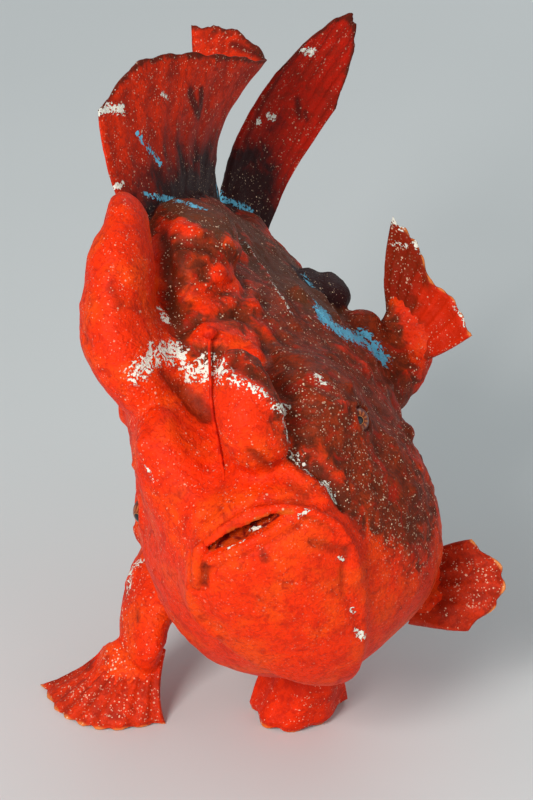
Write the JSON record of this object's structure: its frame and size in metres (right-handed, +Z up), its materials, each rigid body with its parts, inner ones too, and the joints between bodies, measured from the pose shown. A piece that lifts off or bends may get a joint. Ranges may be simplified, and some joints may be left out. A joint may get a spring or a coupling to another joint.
{
  "type": "giant frogfish model",
  "caption": "Still life-size model of a red giant frogfish standing on its hand-like fins, rolled to its right, with lure, dorsal lobe and spread fins.",
  "frame": {"origin": "on the floor under the fish, at the middle of its bounding box", "axes": "+Z up, the fish faces -Y, its left side towards +X, rolled to its right"},
  "size_m": [0.1488, 0.2528, 0.1983],
  "materials": {
    "face_skin": "bright orange-red, softly glossy and warty",
    "flank_skin": "dark brown-red with white specks",
    "fin_skin": "red with darker bases and pale tips",
    "eye": "wet, with a dark pupil and pale spokes"
  },
  "bodies": {
    "root": {"head": "face_skin", "lower_jaw": "face_skin", "trunk": "flank_skin", "tail_root": "flank_skin", "illicium": "face_skin", "second_dorsal_spine": "face_skin", "third_dorsal_spine": "face_skin", "soft_dorsal_fin": "fin_skin", "caudal_fin": "fin_skin", "anal_fin": "fin_skin", "right_pectoral_arm": "face_skin", "right_pectoral_fin": "fin_skin", "left_pectoral_arm": "flank_skin", "left_pectoral_fin": "fin_skin", "right_pelvic_fin": "fin_skin", "left_pelvic_fin": "fin_skin", "left_eye": "eye", "right_eye": "eye"}
  },
  "joints": []
}
